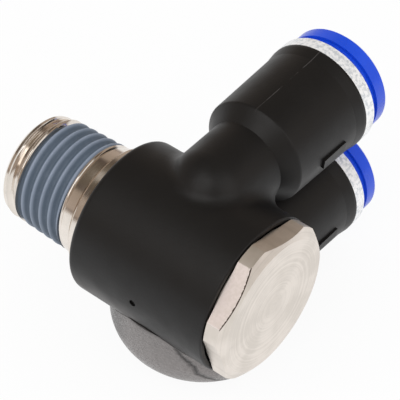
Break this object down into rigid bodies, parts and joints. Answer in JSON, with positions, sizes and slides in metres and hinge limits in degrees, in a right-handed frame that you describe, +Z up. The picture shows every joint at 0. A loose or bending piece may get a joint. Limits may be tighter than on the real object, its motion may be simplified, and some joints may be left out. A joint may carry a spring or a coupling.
{
  "type": "push-in double elbow",
  "caption": "Swivelling push-in double elbow: plated male taper thread, black moulded body, two parallel tube ports with blue release rings.",
  "frame": {"origin": "on the bolt's axis, in the outer face of the retaining ring, where the male thread begins", "axes": "+X the way both tube ports point, +Y along the bolt towards the thread tip, +Z up"},
  "size_m": [0.0369, 0.0337, 0.0276],
  "materials": {
    "black_resin": "matte moulded",
    "blue_resin": "smooth moulded",
    "plated_brass": "satin nickel plate",
    "sealant": "dry coat",
    "spring_steel": "bright stamped",
    "seal_rubber": "matte"
  },
  "bodies": {
    "housing": {"housing": "black_resin", "upper_collar": "plated_brass", "lower_collar": "plated_brass", "upper_grab_ring": "spring_steel", "lower_grab_ring": "spring_steel", "upper_support_ring": "blue_resin", "lower_support_ring": "blue_resin", "upper_tube_seal": "seal_rubber", "lower_tube_seal": "seal_rubber"},
    "bolt": {"banjo_bolt": "plated_brass", "thread_sealant": "sealant", "retaining_ring": "plated_brass", "head_o_ring": "seal_rubber", "thread_o_ring": "seal_rubber"},
    "upper_release": {"upper_release_ring": "blue_resin"},
    "lower_release": {"lower_release_ring": "blue_resin"}
  },
  "joints": [
    {"name": "swivel", "type": "hinge", "parent": "housing", "child": "bolt", "pos_m": [0, -0.0109, 0], "axis": [0, 1, 0], "continuous": true},
    {"name": "upper_release_push", "type": "slide", "parent": "housing", "child": "upper_release", "axis": [-1, 0, 0], "range_m": [0, 0.0008], "stiffness_N_per_m": 250},
    {"name": "lower_release_push", "type": "slide", "parent": "housing", "child": "lower_release", "axis": [-1, 0, 0], "range_m": [0, 0.0008], "stiffness_N_per_m": 250}
  ]
}
